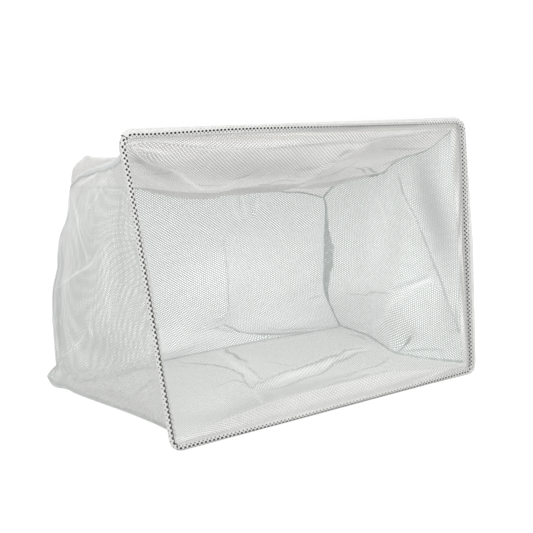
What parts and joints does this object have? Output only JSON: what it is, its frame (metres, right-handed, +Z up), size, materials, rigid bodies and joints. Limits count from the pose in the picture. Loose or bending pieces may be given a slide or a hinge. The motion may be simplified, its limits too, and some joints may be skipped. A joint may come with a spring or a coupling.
{
  "type": "leaf skimmer net",
  "caption": "Closed frame of round steel rod inside the hem of a box-shaped bag of fine white net, standing on its lower bar with the mouth open and the bag sagging behind.",
  "frame": {"origin": "the middle of the footprint, on the floor: the centre of the bounding box's underside", "axes": "+X to the right when looking into the mouth, +Y from the mouth to the back of the bag, +Z up"},
  "size_m": [0.4288, 0.2524, 0.272],
  "materials": {
    "rod_steel": "drawn bright steel rod",
    "weld_steel": "ground weld, duller than the rod",
    "net": "fine open weave, slightly glossy threads",
    "hem_net": "the same net laid double",
    "seam_net": "several layers of the net sewn together",
    "thread": "white sewing thread"
  },
  "bodies": {
    "root": {"frame_rod": "rod_steel", "butt_weld": "weld_steel", "hem_bottom": "hem_net", "hem_right": "hem_net", "hem_top": "hem_net", "hem_left": "hem_net", "hem_stitch_bottom": "thread", "hem_stitch_right": "thread", "hem_stitch_top": "thread", "hem_stitch_left": "thread", "net_top": "net", "net_back": "net", "net_left": "net", "net_right": "net", "net_bottom": "net", "seam_top_left": "seam_net", "seam_top_right": "seam_net", "seam_bottom_left": "seam_net", "seam_bottom_right": "seam_net", "seam_back_top": "seam_net", "seam_back_bottom": "seam_net", "seam_back_left": "seam_net", "seam_back_right": "seam_net"}
  },
  "joints": []
}
